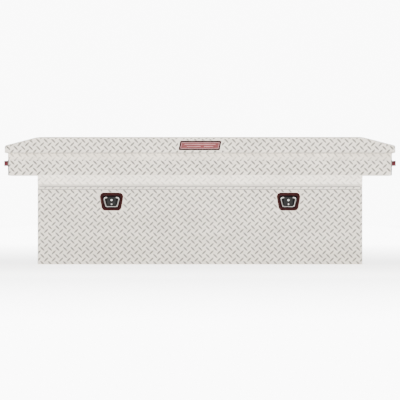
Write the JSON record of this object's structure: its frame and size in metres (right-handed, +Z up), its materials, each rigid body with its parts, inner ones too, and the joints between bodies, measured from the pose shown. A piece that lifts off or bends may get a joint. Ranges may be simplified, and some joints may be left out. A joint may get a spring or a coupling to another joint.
{
  "type": "truck tool box",
  "caption": "Full-width crossover truck tool box in bright tread plate, with a rear-hinged lid, end push-button locks and recessed tie-down rings.",
  "frame": {"origin": "centre of the box's footprint, at the underside of the hopper", "axes": "+X along the box to its right-hand end seen from the front, +Y to the hinge side, +Z up; the front faces -Y"},
  "size_m": [1.831, 0.508, 0.592],
  "materials": {
    "tread_plate": "bright tread plate",
    "mill_sheet": "mill finish",
    "zinc_steel": "zinc plated",
    "stainless": "satin",
    "black_steel": "satin black",
    "seal_rubber": "matt",
    "lock_red": "satin dark red",
    "pan_maroon": "satin, dark maroon with a red edge",
    "clip_grey": "satin dark grey",
    "chrome": "polished",
    "badge_dark": "satin dark",
    "badge_red": "red enamel"
  },
  "bodies": {
    "box": {"hopper_front_panel": "tread_plate", "hopper_rear_panel": "tread_plate", "hopper_floor": "tread_plate", "tray_front": "tread_plate", "tray_rear": "tread_plate", "hopper_end_right": "tread_plate", "tray_end_right": "tread_plate", "wing_floor_right": "tread_plate", "lock_nut_right": "zinc_steel", "latch_bracket_right": "zinc_steel", "strut_base_bracket_right": "zinc_steel", "hook_pin_right": "stainless", "lever_pin_right": "stainless", "lock_bezel_right": "lock_red", "tie_down_bolt_upper_right": "chrome", "tie_down_bolt_lower_right": "chrome", "tie_down_pan_right": "pan_maroon", "tie_down_clip_right": "clip_grey", "hopper_end_left": "tread_plate", "tray_end_left": "tread_plate", "wing_floor_left": "tread_plate", "lock_nut_left": "zinc_steel", "latch_bracket_left": "zinc_steel", "strut_base_bracket_left": "zinc_steel", "hook_pin_left": "stainless", "lever_pin_left": "stainless", "lock_bezel_left": "lock_red", "tie_down_bolt_upper_left": "chrome", "tie_down_bolt_lower_left": "chrome", "tie_down_pan_left": "pan_maroon", "tie_down_clip_left": "clip_grey", "hinge_body_leaf": "stainless", "hinge_pin": "stainless", "weather_seal": "seal_rubber"},
    "lid": {"lid_shell": "tread_plate", "lid_liner": "mill_sheet", "hinge_lid_leaf": "stainless", "badge_frame": "badge_dark", "badge_inlay": "badge_red", "striker_right": "stainless", "striker_left": "stainless", "strut_lid_bracket_right": "zinc_steel", "strut_lid_bracket_left": "zinc_steel"},
    "button_right": {"push_button_right": "lock_red"},
    "plug_right": {"lock_plug_right": "chrome"},
    "trip_lever_body_right": {"trip_lever_right": "zinc_steel"},
    "hook_body_right": {"latch_hook_right": "zinc_steel"},
    "ring_right": {"tie_down_ring_right": "chrome"},
    "strut_tube_body_right": {"strut_tube_right": "black_steel"},
    "strut_rod_body_right": {"strut_rod_right": "chrome"},
    "button_left": {"push_button_left": "lock_red"},
    "plug_left": {"lock_plug_left": "chrome"},
    "trip_lever_body_left": {"trip_lever_left": "zinc_steel"},
    "hook_body_left": {"latch_hook_left": "zinc_steel"},
    "ring_left": {"tie_down_ring_left": "chrome"},
    "strut_tube_body_left": {"strut_tube_left": "black_steel"},
    "strut_rod_body_left": {"strut_rod_left": "chrome"}
  },
  "joints": [
    {"name": "lid_hinge", "type": "hinge", "parent": "box", "child": "lid", "pos_m": [0, 0.2495, 0.515], "axis": [-1, 0, 0], "range_deg": [0, 65]},
    {"name": "button_push_right", "type": "slide", "parent": "box", "child": "button_right", "axis": [-1, 0, 0], "range_m": [0, 0.005], "stiffness_N_per_m": 600},
    {"name": "key_turn_right", "type": "hinge", "parent": "button_right", "child": "plug_right", "pos_m": [0.9, -0.11, 0.471], "axis": [1, 0, 0], "range_deg": [0, 90]},
    {"name": "trip_lever_turn_right", "type": "hinge", "parent": "box", "child": "trip_lever_body_right", "pos_m": [0.8665, -0.11, 0.43], "axis": [0, -1, 0], "range_deg": [0, 7]},
    {"name": "hook_turn_right", "type": "hinge", "parent": "box", "child": "hook_body_right", "pos_m": [0.862, -0.11, 0.495], "axis": [0, 1, 0], "range_deg": [0, 21]},
    {"name": "ring_swing_right", "type": "hinge", "parent": "box", "child": "ring_right", "pos_m": [0.412, -0.218, 0.3118], "axis": [-1, 0, 0], "range_deg": [0, 90]},
    {"name": "strut_swing_right", "type": "hinge", "parent": "box", "child": "strut_tube_body_right", "pos_m": [0.8, 0.1725, 0.438], "axis": [-1, 0, 0], "range_deg": [0, 62.2]},
    {"name": "strut_slide_right", "type": "slide", "parent": "strut_tube_body_right", "child": "strut_rod_body_right", "axis": [0, -0.9363, 0.3511], "range_m": [0, 0.1164]},
    {"name": "button_push_left", "type": "slide", "parent": "box", "child": "button_left", "axis": [1, 0, 0], "range_m": [0, 0.005], "stiffness_N_per_m": 600},
    {"name": "key_turn_left", "type": "hinge", "parent": "button_left", "child": "plug_left", "pos_m": [-0.9, -0.11, 0.471], "axis": [1, 0, 0], "range_deg": [0, 90]},
    {"name": "trip_lever_turn_left", "type": "hinge", "parent": "box", "child": "trip_lever_body_left", "pos_m": [-0.8665, -0.11, 0.43], "axis": [0, 1, 0], "range_deg": [0, 7]},
    {"name": "hook_turn_left", "type": "hinge", "parent": "box", "child": "hook_body_left", "pos_m": [-0.862, -0.11, 0.495], "axis": [0, -1, 0], "range_deg": [0, 21]},
    {"name": "ring_swing_left", "type": "hinge", "parent": "box", "child": "ring_left", "pos_m": [-0.412, -0.218, 0.3118], "axis": [-1, 0, 0], "range_deg": [0, 90]},
    {"name": "strut_swing_left", "type": "hinge", "parent": "box", "child": "strut_tube_body_left", "pos_m": [-0.8, 0.1725, 0.438], "axis": [-1, 0, 0], "range_deg": [0, 62.2]},
    {"name": "strut_slide_left", "type": "slide", "parent": "strut_tube_body_left", "child": "strut_rod_body_left", "axis": [0, -0.9363, 0.3511], "range_m": [0, 0.1164]}
  ],
  "couplings": [
    {"joint": "trip_lever_turn_right", "follows": "button_push_right", "rad_per_m": 24.4},
    {"joint": "hook_turn_right", "follows": "button_push_right", "rad_per_m": 73.2},
    {"joint": "strut_swing_right", "follows": "lid_hinge", "ratio": 0.9561},
    {"joint": "strut_slide_right", "follows": "lid_hinge", "m_per_rad": 0.10252},
    {"joint": "trip_lever_turn_left", "follows": "button_push_left", "rad_per_m": 24.4},
    {"joint": "hook_turn_left", "follows": "button_push_left", "rad_per_m": 73.2},
    {"joint": "strut_swing_left", "follows": "lid_hinge", "ratio": 0.9561},
    {"joint": "strut_slide_left", "follows": "lid_hinge", "m_per_rad": 0.10252}
  ]
}
